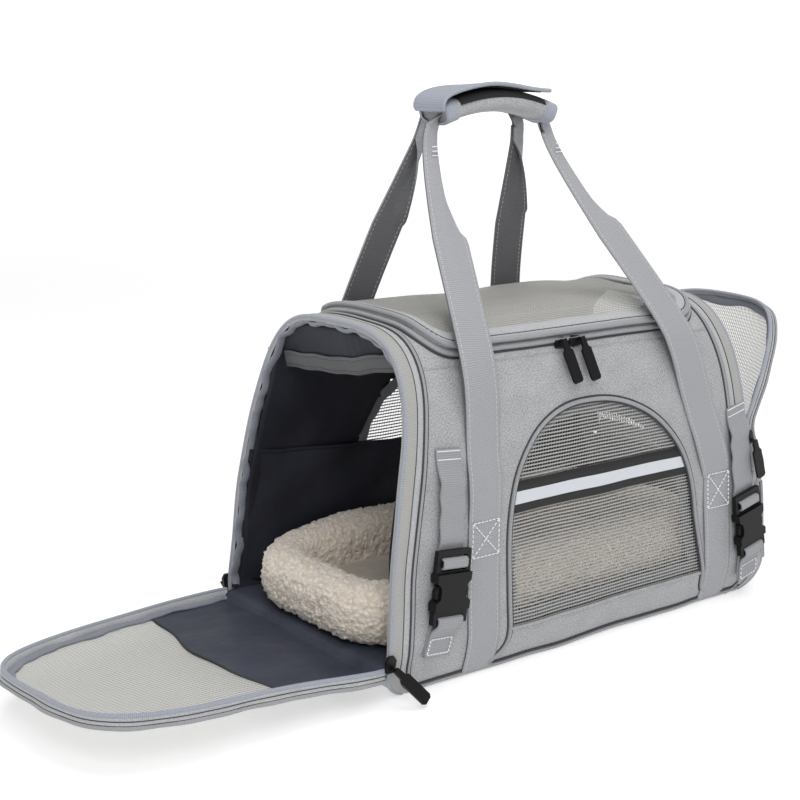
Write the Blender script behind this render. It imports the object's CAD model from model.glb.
"""Looks of the soft-sided pet carrier: fabric, webbing, zips, lining and bed round the CAD frame."""

import math

import bpy
import numpy as np
from mathutils import Matrix, Vector, noise


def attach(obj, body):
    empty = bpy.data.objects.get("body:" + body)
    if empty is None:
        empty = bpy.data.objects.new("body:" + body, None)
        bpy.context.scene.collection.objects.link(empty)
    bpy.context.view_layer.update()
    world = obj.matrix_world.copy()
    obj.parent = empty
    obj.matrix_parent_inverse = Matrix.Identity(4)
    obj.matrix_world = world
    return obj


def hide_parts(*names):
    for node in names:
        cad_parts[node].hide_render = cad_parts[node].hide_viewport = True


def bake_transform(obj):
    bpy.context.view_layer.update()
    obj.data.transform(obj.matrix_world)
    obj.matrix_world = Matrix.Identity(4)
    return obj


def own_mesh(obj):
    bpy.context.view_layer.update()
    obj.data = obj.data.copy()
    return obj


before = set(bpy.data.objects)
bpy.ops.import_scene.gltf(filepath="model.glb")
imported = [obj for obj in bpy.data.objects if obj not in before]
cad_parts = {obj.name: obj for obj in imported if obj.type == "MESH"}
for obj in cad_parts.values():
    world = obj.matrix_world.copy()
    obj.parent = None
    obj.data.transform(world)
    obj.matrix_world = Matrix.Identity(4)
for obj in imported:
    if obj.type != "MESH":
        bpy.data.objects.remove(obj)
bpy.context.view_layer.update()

# Tunnel of the bag, in metres.
HEIGHT = 0.275
FLOOR_HALF = 0.098
HIP_HALF = 0.110
HIP_Z = 0.040
TAPER = 0.050
SHOULDER_Z = 0.060
SHOULDER_POWER = 4.1
SLOUCH = 0.018
FRONT_X = -0.217
FRONT_LEAN = 0.055
REAR_X = 0.2336
REAR_LEAN = 0.300
FRONT_CORNER = 0.030
REAR_CORNER = 0.035
HINGE_Z = 0.0278
BAND = 0.0140
TOP_HALF = 0.0865

# Doors.
DOOR_DEPTH = 0.0150
DOOR_SLIM = 0.58
DOOR_DRAWN_IN = 0.045
DOOR_SHORTER = 0.0055
DOOR_SHEAR = 0.06
DOOR_ROLL = 0.035
DOOR_RISE = 3.0
DOOR_SPLIT_Z = 0.118
REAR_SPLIT_Z = 0.105
REAR_LEAN_OUT = 37.0
REAR_TUCK = 0.045
REAR_SINK = 0.019
REAR_BOW = 0.004
CROWN = HEIGHT - 0.004
DOOR_GAP = 0.0003

# Side windows, the reflective tape on the near one, the pocket on the far wall.
WINDOW_LOW = 0.033
WINDOW_TOP = 0.2075
WINDOW_WAIST = 0.100
WINDOW_HALF = 0.262
WINDOW_MIDDLE = 0.545
WINDOW_POWER = 2.3
STRIPE = (0.1275, 0.1535)
POCKET_X = (-0.2075, 0.172)
POCKET_LOW = 0.030
POCKET_TOP = 0.146

# Top lid.
LID_FRONT = -0.170
LID_REAR = 0.128
LID_HALF = 0.0745
LID_CORNER = 0.025

# Webbing and grip. A leg folds in half over FOLD_RUN of its free length, from FOLD_FROM up.
WEB_WIDTH = 0.033
WEB_THICK = 0.0015
NARROW_HALF = 0.0120
FOLD_FROM = 0.50
FOLD_RUN = {-1: 0.56, 1: 0.36}
FRONT_BOX = (0.1000, 0.1285)
REAR_BOX = (0.0915, 0.1230)
LEG_SHOULDER = {(-1, True): -0.1370, (-1, False): 0.0880, (1, True): -0.1170, (1, False): 0.0620}
SHOULDER_LEAVE = 0.2440
GRIP_FRONT = -0.095
GRIP_REAR = 0.022
GRIP_MIDDLE = -0.036
GRIP_Z = 0.4385
GRIP_DROP = 2.9

# Bed.
BED_REAR = 0.186
BED_HALF = 0.094
BED_Z = 0.0290
BED_SOFT_FRONT = -0.2225
BED_SOFT = 0.047
BOLSTER_LOW_TOP = 0.0785
BOLSTER_TOP = 0.0880


# ---------------------------------------------------------------- section of the tunnel

def smooth(t):
    """Zero to one with level ends."""
    t = np.clip(t, 0.0, 1.0)
    return t * t * (3.0 - 2.0 * t)


def half_width(z):
    """Half the width of the tunnel at a height."""
    z = np.asarray(z, float)
    hip = HIP_HALF - TAPER * HIP_Z
    low = FLOOR_HALF + (hip - FLOOR_HALF) * np.sin(0.5 * np.pi * np.clip(z / HIP_Z, 0, 1))
    width = HIP_HALF - TAPER * z
    part = np.clip((z - SHOULDER_Z) / (HEIGHT - SHOULDER_Z), 0, 1)
    high = width * (1.0 - part ** SHOULDER_POWER) ** (1.0 / SHOULDER_POWER)
    return np.where(z < HIP_Z, low, high)


def slouch(z):
    """Sideways lean of the slack tunnel at a height."""
    return -SLOUCH * smooth((np.asarray(z, float) - 0.080) / (HEIGHT - 0.080))


def build_section(steps=900):
    """The tunnel's outline as arc length from the crown, y, z and outward normal."""
    rise = HEIGHT * np.sin(0.5 * np.pi * np.arange(steps + 1) / steps)
    y = np.concatenate([slouch(rise) - half_width(rise), (slouch(rise) + half_width(rise))[-2::-1]])
    z = np.concatenate([rise, rise[-2::-1]])
    run = np.hypot(np.diff(y), np.diff(z))
    s = np.concatenate([[0.0], np.cumsum(run)])
    s -= s[steps]
    even = np.linspace(s[0], s[-1], 1601)
    y = np.interp(even, s, y)
    z = np.interp(even, s, z)
    dy = np.gradient(np.convolve(np.pad(y, 6, "edge"), np.ones(13) / 13, "valid"), even)
    dz = np.gradient(np.convolve(np.pad(z, 6, "edge"), np.ones(13) / 13, "valid"), even)
    size_of = np.hypot(dy, dz)
    return even, y, z, -dz / size_of, dy / size_of


SEC = build_section()
S_LOW, S_HIGH = SEC[0][0], SEC[0][-1]


def section(s):
    """y, z and outward normal at an arc length."""
    return tuple(np.interp(s, SEC[0], SEC[i]) for i in (1, 2, 3, 4))


def s_at(z, side):
    """Arc length from the crown at which a wall reaches a height."""
    middle = len(SEC[0]) // 2
    if side < 0:
        return np.interp(z, SEC[2][:middle + 1], SEC[0][:middle + 1])
    return np.interp(z, SEC[2][middle:][::-1], SEC[0][middle:][::-1])


def s_of_y(y):
    """Arc length on the top of the tunnel for a sideways position."""
    inside = np.abs(SEC[0]) < 0.12
    return np.interp(y, SEC[1][inside], SEC[0][inside])


def corner(z, radius):
    """How far a rounded lower corner draws in."""
    z = np.asarray(z, float)
    drop = radius - np.sqrt(np.clip(radius ** 2 - (radius - z) ** 2, 0, None))
    return np.where(z >= radius, 0.0, drop)


def front_x(z):
    """The front edge of the tunnel."""
    return FRONT_X + FRONT_LEAN * np.asarray(z, float) + corner(z, FRONT_CORNER)


def rear_x(z):
    """The rear edge of the tunnel."""
    return REAR_X - REAR_LEAN * np.asarray(z, float) - corner(z, REAR_CORNER)


RIPPLES = ((0.00050, 21, 13, 0.4), (0.00042, -34, 27, 2.1), (0.00034, 47, 41, 4.0),
           (0.00026, -63, 58, 1.2), (0.00020, 88, -71, 5.3), (0.00014, 120, 104, 3.1))


def ripple(x, s):
    """Outward swell of the slack fabric."""
    total = 0.0
    for height, kx, ks, phase in RIPPLES:
        total = total + height * np.sin(kx * x + ks * s + phase)
    return total


def wall(x, s, off):
    """Points on the soft wall at length x and arc length s, lifted off by off."""
    x, s, off = np.broadcast_arrays(np.asarray(x, float), np.asarray(s, float),
                                    np.asarray(off, float))
    y, z, ny, nz = section(s)
    lift = off + ripple(x, s)
    return np.stack([x, y + ny * lift, z + nz * lift], -1)


def wall_line(flat, lift):
    """Points on the wall from (x, s) pairs."""
    return wall(flat[:, 0], flat[:, 1], lift)


def normals(s):
    """Outward directions of the wall."""
    return np.stack([np.zeros(len(s)), section(s)[2], section(s)[3]], -1)


# ---------------------------------------------------------------- meshes

def unit(vector):
    """A vector scaled to length one."""
    return vector / np.linalg.norm(vector)


def unit_rows(vectors):
    """Each vector of an array scaled to length one."""
    return vectors / np.linalg.norm(vectors, axis=-1)[..., None]


def along(at, run, line):
    """Points of a line at given running lengths."""
    return np.stack([np.interp(at, run, column) for column in line.T], -1)


def uv_grid(u, v):
    """Texture coordinates of a grid from its two running lengths."""
    return np.stack(np.meshgrid(u, v, indexing="ij"), -1)


def thicken(obj, thick, offset):
    """Cloth thickness, if any."""
    if thick:
        mod = obj.modifiers.new("cloth", "SOLIDIFY")
        mod.thickness = thick
        mod.offset = offset
    return obj


def mesh_object(name, points, faces, mat, uv=None, flat=False):
    """A piece from points and faces; uv holds one pair for each point."""
    mesh = bpy.data.meshes.new(name)
    mesh.from_pydata([tuple(p) for p in points], [], [tuple(f) for f in faces])
    if uv is not None:
        layer = mesh.uv_layers.new(name="UVMap")
        index = np.zeros(len(mesh.loops), int)
        mesh.loops.foreach_get("vertex_index", index)
        layer.data.foreach_set("uv", np.asarray(uv, float)[index].ravel())
    mesh.polygons.foreach_set("use_smooth", [not flat] * len(mesh.polygons))
    obj = bpy.data.objects.new(name, mesh)
    bpy.context.scene.collection.objects.link(obj)
    mesh.materials.append(mat)
    return obj


def lengths(points):
    """Running length along a line of points."""
    points = np.asarray(points, float)
    return np.concatenate([[0.0], np.cumsum(np.linalg.norm(np.diff(points, axis=0), axis=1))])


def grid_object(name, grid, mat, closed_u=False, closed_v=False, thick=0.0, offset=-1.0, uv=None):
    """A surface from a grid of points; thick adds cloth thickness."""
    nu, nv = grid.shape[:2]
    index = np.arange(nu * nv).reshape(nu, nv)
    if closed_u:
        index = np.vstack([index, index[:1]])
    if closed_v:
        index = np.hstack([index, index[:, :1]])
    a, b, c, d = index[:-1, :-1], index[1:, :-1], index[1:, 1:], index[:-1, 1:]
    faces = np.stack([a, b, c, d], -1).reshape(-1, 4)
    if uv is None:
        u = lengths(grid[:, nv // 2])
        v = lengths(grid[nu // 2])
        uv = uv_grid(u, v - v[-1] * 0.5)
    obj = mesh_object(name, grid.reshape(-1, 3), faces, mat, np.asarray(uv).reshape(-1, 2))
    return thicken(obj, thick, offset)


def frames(path, closed=False):
    """Steady cross directions along a path."""
    path = np.asarray(path, float)
    if closed:
        run = np.roll(path, -1, 0) - np.roll(path, 1, 0)
    else:
        run = np.gradient(path, axis=0)
    run = unit_rows(run)
    side = np.cross(run[0], (0.13, 0.21, 0.97))
    one = []
    for r in run:
        side = side - r * side.dot(r)
        side = unit(side)
        one.append(side)
    one = np.array(one)
    return run, one, np.cross(run, one)


def tube(name, path, radius, mat, closed=False, sides=8, flatten=1.0, lift=None):
    """A round cord along a path; flatten squeezes it along lift."""
    path = np.asarray(path, float)
    run, one, two = frames(path, closed)
    if lift is not None:
        up = np.broadcast_to(np.asarray(lift, float), path.shape)
        up = up - run * np.sum(up * run, 1)[:, None]
        two = unit_rows(up)
        one = np.cross(two, run)
    angle = np.arange(sides) * 2.0 * np.pi / sides
    ring = (one[:, None] * np.cos(angle)[None, :, None]
            + two[:, None] * (np.sin(angle) * flatten)[None, :, None])
    grid = path[:, None] + ring * np.asarray(radius)[..., None, None]
    u = lengths(path)
    v = angle / (2.0 * np.pi) * 0.006
    uv = uv_grid(u, v)
    return grid_object(name, grid, mat, closed_u=closed, closed_v=True, uv=uv)


def resample(path, step, closed=False):
    """The same line with evenly spaced points."""
    path = np.asarray(path, float)
    if closed:
        path = np.vstack([path, path[:1]])
    run = lengths(path)
    count = max(2, int(round(run[-1] / step)) + 1)
    at = np.linspace(0, run[-1], count)
    out = along(at, run, path)
    return out[:-1] if closed else out


def boxes(name, centres, runs, ups, extent, mat):
    """Many small blocks, such as zip teeth or stitches, as one piece."""
    centres, runs, ups = (np.asarray(a, float) for a in (centres, runs, ups))
    sides = np.cross(runs, ups)
    corners = np.array([(a, b, c) for a in (-1, 1) for b in (-1, 1) for c in (-1, 1)], float)
    shape = corners * np.asarray(extent) * 0.5
    points = (centres[:, None] + runs[:, None] * shape[None, :, :1]
              + sides[:, None] * shape[None, :, 1:2] + ups[:, None] * shape[None, :, 2:])
    quads = np.array([(0, 1, 3, 2), (4, 6, 7, 5), (0, 4, 5, 1), (2, 3, 7, 6), (0, 2, 6, 4),
                      (1, 5, 7, 3)])
    faces = (quads[None] + 8 * np.arange(len(centres))[:, None, None]).reshape(-1, 4)
    return mesh_object(name, points.reshape(-1, 3), faces, mat, flat=True)


def stitches(name, lines, ups, mat, pitch=0.0036, fill=0.68, width=0.00065):
    """Rows of thread along lines of points, each with its outward direction."""
    centres, runs, outs = [], [], []
    for line, up in zip(lines, ups):
        line = np.asarray(line, float)
        up = np.broadcast_to(np.asarray(up, float), line.shape)
        run = lengths(line)
        count = max(1, int(run[-1] / pitch))
        at = (np.arange(count) + 0.5) * run[-1] / count
        spot = along(at, run, line)
        ahead = along(at + 1e-4, run, line)
        back = along(at - 1e-4, run, line)
        heading = ahead - back
        heading = unit_rows(heading)
        out = along(at, run, up)
        out -= heading * np.sum(out * heading, 1)[:, None]
        out = unit_rows(out)
        centres.append(spot)
        runs.append(heading)
        outs.append(out)
    return boxes(name, np.vstack(centres), np.vstack(runs), np.vstack(outs),
                 (pitch * fill, width, 0.0007), mat)


def teeth(name, path, ups, mat, pitch=0.0021, width=0.0042, height=0.0016, closed=False):
    """Zip coil along a path."""
    path = resample(np.hstack([path, np.broadcast_to(ups, np.shape(path))]), pitch, closed)
    spot, up = path[:, :3], path[:, 3:]
    run = frames(spot, closed)[0]
    up = up - run * np.sum(up * run, 1)[:, None]
    up = unit_rows(up)
    return boxes(name, spot, run, up, (pitch * 0.62, width, height), mat)


def inside(points, outline):
    """Which points lie inside a closed outline."""
    x, y = points[:, 0], points[:, 1]
    hit = np.zeros(len(points), bool)
    ends = np.roll(outline, -1, 0)
    for (x0, y0), (x1, y1) in zip(outline, ends):
        if y0 == y1:
            continue
        crosses = (y0 > y) != (y1 > y)
        hit ^= crosses & (x < (x1 - x0) * (y - y0) / (y1 - y0) + x0)
    return hit


def snap(points, outline, reach):
    """Points closer to the outline than reach move onto it."""
    ends = np.roll(outline, -1, 0)
    span = ends - outline
    best = np.full(len(points), np.inf)
    target = points.copy()
    for a, d in zip(outline, span):
        t = np.clip(((points - a) @ d) / max(d @ d, 1e-12), 0, 1)
        near = a + t[:, None] * d
        gap = np.linalg.norm(points - near, axis=1)
        closer = gap < best
        best[closer] = gap[closer]
        target[closer] = near[closer]
    moved = points.copy()
    close = best < reach
    moved[close] = target[close]
    return moved


def cut_panel(name, x_from, x_to, s_from, s_to, off, mat, outline, keep, thick, offset, step=0.0032,
              extra=None):
    """A wall panel in (x, s), cut along an outline; keep says which side stays."""
    s = np.linspace(s_from, s_to, max(3, int(abs(s_to - s_from) / step)))
    z = section(s)[1]
    start, end = x_from(z), x_to(z)
    count = int(np.max(end - start) / step)
    t = np.linspace(0, 1, count)
    flat = np.stack([start[:, None] + (end - start)[:, None] * t, np.repeat(s[:, None], count, 1)],
                    -1).reshape(-1, 2)
    index = np.arange(len(flat)).reshape(len(s), count)
    faces = np.stack([index[:-1, :-1], index[1:, :-1], index[1:, 1:], index[:-1, 1:]],
                     -1).reshape(-1, 4)
    if outline is not None:
        flat = snap(flat, outline, 0.55 * step)
        middle = flat[faces].mean(1)
        faces = faces[inside(middle, outline) == keep]
        used = np.unique(faces)
        back = np.zeros(len(flat), int)
        back[used] = np.arange(len(used))
        flat, faces = flat[used], back[faces]
    lift = off if extra is None else off + extra(flat[:, 0], flat[:, 1])
    points = wall(flat[:, 0], flat[:, 1], lift)
    obj = mesh_object(name, points, faces, mat, flat)
    return thicken(obj, thick, offset)


def ride(obj, body, *nodes, slot=None):
    """Fix a piece to a body, or bend it between two; nodes are the solids it stands for."""
    if isinstance(body, tuple):
        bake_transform(obj)
    else:
        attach(obj, body)
    if nodes:
        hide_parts(*nodes)
    return obj


def cords(prefix, specs, path_of, body, suffix="", closed=False):
    """Piping and seams along an edge; specs are (name, shift, lift, radius, material)."""
    for name, shift, lift, radius, mat in specs:
        ride(tube(f"{prefix}_{name}{suffix}", path_of(shift, lift), radius, mat, closed=closed), body)


# ---------------------------------------------------------------- materials

class Shader:
    """A principled material with helpers for procedural patterns."""

    def __init__(self, name, colour, rough, **settings):
        self.mat = bpy.data.materials.new(name)
        self.mat.use_nodes = True
        self.tree = self.mat.node_tree
        self.base = self.tree.nodes["Principled BSDF"]
        self.base.inputs["Base Color"].default_value = (*colour, 1.0)
        self.base.inputs["Roughness"].default_value = rough
        for key, value in settings.items():
            self.base.inputs[key.replace("_", " ")].default_value = value
        self.coords = None

    def node(self, kind, **settings):
        made = self.tree.nodes.new(kind)
        for key, value in settings.items():
            setattr(made, key, value)
        return made

    def link(self, source, target):
        self.tree.links.new(source, target)

    def math(self, operation, first, second=None):
        """One math node on sockets or numbers."""
        made = self.node("ShaderNodeMath", operation=operation)
        for i, value in enumerate((first, second)):
            if value is None:
                continue
            if isinstance(value, (int, float)):
                made.inputs[i].default_value = value
            else:
                self.link(value, made.inputs[i])
        return made.outputs[0]

    def uv(self):
        """The UV vector and its two parts."""
        if self.coords is None:
            source = self.node("ShaderNodeUVMap", uv_map="UVMap").outputs[0]
            split = self.node("ShaderNodeSeparateXYZ")
            self.link(source, split.inputs[0])
            self.coords = (source, split.outputs[0], split.outputs[1])
        return self.coords

    def place(self):
        """Position on the object, in metres."""
        return self.node("ShaderNodeTexCoord").outputs["Object"]

    def scaled(self, source, scale):
        made = self.node("ShaderNodeMapping")
        made.inputs["Scale"].default_value = scale
        self.link(source, made.inputs["Vector"])
        return made.outputs[0]

    def noise(self, source, scale, detail=2.0, rough=0.5):
        made = self.node("ShaderNodeTexNoise")
        made.inputs["Scale"].default_value = scale
        made.inputs["Detail"].default_value = detail
        made.inputs["Roughness"].default_value = rough
        self.link(source, made.inputs["Vector"])
        return made.outputs["Fac"]

    def ramp(self, value, stops):
        made = self.node("ShaderNodeValToRGB")
        elements = made.color_ramp.elements
        while len(elements) < len(stops):
            elements.new(0.5)
        for element, (at, colour) in zip(elements, stops):
            element.position = at
            element.color = (*colour, 1.0)
        self.link(value, made.inputs[0])
        return made.outputs[0]

    def mix(self, factor, first, second):
        made = self.node("ShaderNodeMix", data_type="RGBA")
        for socket, value in ((made.inputs[0], factor), (made.inputs[6], first),
                              (made.inputs[7], second)):
            if isinstance(value, tuple):
                socket.default_value = (*value, 1.0)
            elif isinstance(value, float):
                socket.default_value = value
            else:
                self.link(value, socket)
        return made.outputs[2]

    def colour(self, source):
        self.link(source, self.base.inputs["Base Color"])

    def bump(self, height, strength, distance):
        made = self.node("ShaderNodeBump")
        made.inputs["Strength"].default_value = strength
        made.inputs["Distance"].default_value = distance
        self.link(height, made.inputs["Height"])
        self.link(made.outputs[0], self.base.inputs["Normal"])

    def wave(self, coordinate, pitch):
        """A rounded rib once in every pitch of the coordinate."""
        turned = self.math("MULTIPLY", coordinate, math.pi / pitch)
        return self.math("ABSOLUTE", self.math("SINE", turned))

    def stripe(self, coordinate, pitch, share):
        """One for the given share of every pitch, else zero."""
        part = self.math("FRACT", self.math("MULTIPLY", coordinate, 1.0 / pitch))
        return self.math("LESS_THAN", part, share)


def make_heather(name, dark, light, weave=0.0010):
    """Melange polyester: flecked warp and weft with a fine basket weave."""
    sh = Shader(name, light, 0.86, Sheen_Weight=0.25, Sheen_Roughness=0.5)
    source, u, v = sh.uv()
    one = sh.noise(sh.scaled(source, (1700.0, 620.0, 1.0)), 1.0, 2.0, 0.8)
    two = sh.noise(sh.scaled(source, (620.0, 1600.0, 1.0)), 1.0, 2.0, 0.8)
    wide = sh.noise(sh.scaled(source, (60.0, 60.0, 1.0)), 1.0, 2.0, 0.6)
    fleck = sh.math("ADD", sh.math("MULTIPLY", sh.math("ADD", one, two), 0.5),
                    sh.math("MULTIPLY", sh.math("SUBTRACT", wide, 0.5), 0.08))
    middle = tuple(0.5 * (a + b) for a, b in zip(dark, light))
    sh.colour(sh.ramp(fleck, ((0.38, dark), (0.5, middle), (0.61, light))))
    knit = sh.math("MULTIPLY", sh.wave(u, weave), sh.wave(v, weave))
    sh.bump(sh.math("ADD", knit, sh.math("MULTIPLY", fleck, 0.8)), 0.35, 0.0006)
    return sh.mat


def make_webbing(name, colour, half, stitched=True):
    """Ribbed strap; u runs along it and v across, zero at its middle."""
    sh = Shader(name, colour, 0.72, Sheen_Weight=0.15)
    source, u, v = sh.uv()
    rib = sh.wave(u, 0.0017)
    column = sh.wave(v, 0.0024)
    weave = sh.math("ADD", sh.math("MULTIPLY", rib, 0.6), sh.math("MULTIPLY", column, 0.22))
    shade = sh.noise(sh.scaled(source, (900.0, 1600.0, 1.0)), 1.0, 2.0, 0.6)
    tone = sh.math("ADD", sh.math("MULTIPLY", weave, 0.55), sh.math("MULTIPLY", shade, 0.5))
    dark = tuple(c * 0.70 for c in colour)
    light = tuple(min(c * 1.14, 1.0) for c in colour)
    cloth = sh.ramp(tone, ((0.20, dark), (0.80, light)))
    if stitched:
        edge = sh.math("SUBTRACT", sh.math("ABSOLUTE", v), half - 0.0030)
        row = sh.math("LESS_THAN", sh.math("ABSOLUTE", edge), 0.00032)
        thread = sh.math("MULTIPLY", row, sh.stripe(u, 0.0042, 0.62))
        cloth = sh.mix(thread, cloth, (0.47, 0.475, 0.49))
    sh.colour(cloth)
    sh.bump(weave, 0.55, 0.0006)
    return sh.mat


def make_net(name, colour, row, row_share, column, column_share):
    """Open netting; rows run along u."""
    sh = Shader(name, colour, 0.6)
    _, u, v = sh.uv()
    rows = sh.stripe(v, row, row_share)
    columns = sh.stripe(u, column, column_share)
    mask = sh.math("MAXIMUM", rows, columns)
    sh.link(mask, sh.base.inputs["Alpha"])
    sh.bump(sh.math("ADD", sh.wave(v, row), sh.wave(u, column)), 0.4, 0.0005)
    return sh.mat


def make_lining(name, dark, light):
    """Smooth thin nylon with soft creases."""
    sh = Shader(name, dark, 0.46, Specular_IOR_Level=0.16)
    spot = sh.place()
    crease = sh.noise(sh.scaled(spot, (14.0, 22.0, 9.0)), 1.0, 3.0, 0.5)
    fine = sh.noise(spot, 900.0, 2.0, 0.6)
    sh.colour(sh.ramp(crease, ((0.3, dark), (0.75, light))))
    sh.bump(sh.math("ADD", crease, sh.math("MULTIPLY", fine, 0.02)), 0.5, 0.010)
    return sh.mat


def make_fleece(name):
    """Cream sherpa with small curls."""
    sh = Shader(name, (0.80, 0.74, 0.66), 0.95, Sheen_Weight=0.6, Sheen_Roughness=0.6,
                Subsurface_Weight=0.08, Subsurface_Radius=(0.004, 0.003, 0.002))
    spot = sh.place()
    curl = sh.node("ShaderNodeTexVoronoi", feature="F1")
    curl.inputs["Scale"].default_value = 300.0
    sh.link(spot, curl.inputs["Vector"])
    fine = sh.noise(spot, 900.0, 3.0, 0.7)
    tone = sh.noise(spot, 70.0, 3.0, 0.6)
    shade = sh.math("ADD", sh.math("MULTIPLY", curl.outputs["Distance"], 0.9),
                    sh.math("MULTIPLY", tone, 0.35))
    sh.colour(sh.ramp(shade, ((0.2, (0.96, 0.895, 0.80)), (0.80, (0.74, 0.63, 0.51)))))
    tuft = sh.math("SUBTRACT", sh.math("MULTIPLY", fine, 0.5), curl.outputs["Distance"])
    sh.bump(tuft, 0.9, 0.0022)
    return sh.mat


def make_suede(name):
    """Brown brushed suede."""
    sh = Shader(name, (0.42, 0.36, 0.31), 0.9, Sheen_Weight=0.5)
    spot = sh.place()
    tone = sh.noise(spot, 35.0, 3.0, 0.6)
    fine = sh.noise(spot, 1500.0, 2.0, 0.6)
    sh.colour(sh.ramp(tone, ((0.35, (0.36, 0.31, 0.26)), (0.65, (0.48, 0.42, 0.36)))))
    sh.bump(fine, 0.25, 0.0006)
    return sh.mat


def make_binding(name, colour):
    """Grosgrain edge tape."""
    sh = Shader(name, colour, 0.7, Sheen_Weight=0.2)
    source, u, _ = sh.uv()
    rib = sh.wave(u, 0.0013)
    tone = sh.noise(sh.scaled(source, (700.0, 900.0, 1.0)), 1.0, 2.0, 0.6)
    sh.colour(sh.ramp(sh.math("MULTIPLY", sh.math("ADD", rib, tone), 0.6),
                      ((0.2, tuple(c * 0.72 for c in colour)),
                       (0.9, tuple(min(c * 1.12, 1.0) for c in colour)))))
    sh.bump(rib, 0.5, 0.0005)
    return sh.mat


def make_plastic(name):
    """Black moulded acetal with a fine grain."""
    sh = Shader(name, (0.006, 0.006, 0.007), 0.38, Specular_IOR_Level=0.22)
    grain = sh.noise(sh.place(), 2500.0, 2.0, 0.5)
    sh.bump(grain, 0.12, 0.0002)
    return sh.mat


def make_reflective(name):
    """Dark tape with a bright silver stripe along its middle; v runs across it from 0 to 1."""
    sh = Shader(name, (0.01, 0.01, 0.011), 0.55)
    v = sh.uv()[2]
    middle = sh.math("LESS_THAN", sh.math("ABSOLUTE", sh.math("SUBTRACT", v, 0.47)), 0.20)
    sh.colour(sh.mix(middle, (0.012, 0.012, 0.013), (0.58, 0.60, 0.64)))
    sh.link(sh.math("SUBTRACT", 0.75, sh.math("MULTIPLY", middle, 0.40)),
            sh.base.inputs["Roughness"])
    return sh.mat


def plain(name, colour, rough, **settings):
    """A material without a pattern."""
    return Shader(name, colour, rough, **settings).mat


HEATHER = make_heather("heather_cloth", (0.175, 0.178, 0.188), (0.52, 0.525, 0.54))
HEATHER_TAPE = make_heather("zip_tape_cloth", (0.30, 0.305, 0.315), (0.52, 0.53, 0.55), 0.0008)
WEBBING = make_webbing("webbing_wide", (0.33, 0.335, 0.355), 0.5 * WEB_WIDTH)
WEBBING_BACK = make_webbing("webbing_back", (0.125, 0.127, 0.135), 0.5 * WEB_WIDTH)
WEBBING_NARROW = make_webbing("webbing_narrow", (0.30, 0.305, 0.325), NARROW_HALF, stitched=False)
NET = make_net("window_net", (0.36, 0.36, 0.35), 0.0029, 0.44, 0.0029, 0.13)
NET_PALE = make_net("door_net", (0.58, 0.575, 0.55), 0.0029, 0.60, 0.0031, 0.16)
NET_TOP = make_net("lid_net", (0.36, 0.355, 0.335), 0.0018, 0.74, 0.0018, 0.60)
LINING = make_lining("dark_lining", (0.015, 0.016, 0.023), (0.036, 0.038, 0.052))
SLATE = make_lining("slate_lining", (0.036, 0.040, 0.058), (0.072, 0.078, 0.106))
FLEECE = make_fleece("sherpa")
SUEDE = make_suede("suede_cloth")
BINDING = make_binding("blue_grey_binding", (0.31, 0.33, 0.385))
TAPE = make_binding("smooth_tape", (0.36, 0.358, 0.345))
BINDING_MID = make_binding("gathered_binding", (0.20, 0.215, 0.255))
BINDING_DARK = make_binding("dark_binding", (0.16, 0.17, 0.19))
SEAM_TAPE = make_binding("seam_tape", (0.085, 0.088, 0.096))
PIPING = make_binding("grey_piping", (0.30, 0.305, 0.32))
CREVICE = plain("seam_shadow", (0.045, 0.046, 0.050), 0.9)
COIL = plain("zip_coil", (0.25, 0.255, 0.27), 0.45)
THREAD = plain("white_thread", (0.80, 0.81, 0.84), 0.6)
FILM = plain("clear_film", (0.40, 0.395, 0.375), 0.35, Alpha=0.62)
VELCRO = plain("hook_strip", (0.012, 0.012, 0.013), 0.95)
BOARD = plain("board_cloth", (0.05, 0.05, 0.055), 0.9)
REFLECTIVE = make_reflective("reflective_tape")
PLASTIC = make_plastic("black_plastic")


# ---------------------------------------------------------------- side walls and windows

def window_line(inset=0.0, count=26):
    """Closed outline of a side window in (x, z)."""
    half = WINDOW_HALF - inset / 0.41
    top = WINDOW_TOP - inset
    angle = np.linspace(0, 0.5 * math.pi, count)
    z = np.concatenate([np.linspace(WINDOW_LOW + inset, WINDOW_WAIST, 9)[:-1],
                        WINDOW_WAIST + (top - WINDOW_WAIST) * np.sin(angle)])
    part = np.clip((z - WINDOW_WAIST) / (top - WINDOW_WAIST), 0, 1)
    width = half * (1.0 - part ** WINDOW_POWER) ** (1.0 / WINDOW_POWER)
    middle = WINDOW_MIDDLE - 0.045 * part * part
    start = FRONT_X + FRONT_LEAN * z
    span = REAR_X - REAR_LEAN * z - start
    right = np.stack([start + span * (middle + width), z], -1)
    left = np.stack([start + span * (middle - width), z], -1)
    return np.vstack([right, left[-2::-1]])


def window_corner(line, radius=0.010, steps=5):
    """The same outline with its two lower corners rounded off."""
    first, last = line[0], line[-1]
    head, tail = [], []
    for i in range(steps + 1):
        a = 0.5 * math.pi * i / steps
        head.append((first[0] - radius * (1 - math.sin(a)), first[1] + radius * (1 - math.cos(a))))
        tail.append((last[0] + radius * (1 - math.cos(a)), last[1] + radius * (1 - math.sin(a))))
    between = [p for p in line[1:-1] if p[1] > first[1] + radius]
    return np.array(head + between + tail)


def on_wall(line, side):
    """(x, z) pairs as (x, s) pairs."""
    return np.stack([line[:, 0], s_at(line[:, 1], side)], -1)


def band_front(z):
    """Where the wall cloth starts behind the front hoop."""
    return front_x(z) + BAND + 0.0010


def band_rear(z):
    """Where the wall cloth ends before the rear hoop."""
    return rear_x(z) - BAND - 0.0010


SIDES = ((-1, "near"), (1, "far"))
FLOOR_MARK = 0.0022
PIPE_FOOT = 0.0075
WINDOW = resample(window_corner(window_line(), 0.004), 0.004, closed=True)


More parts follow.
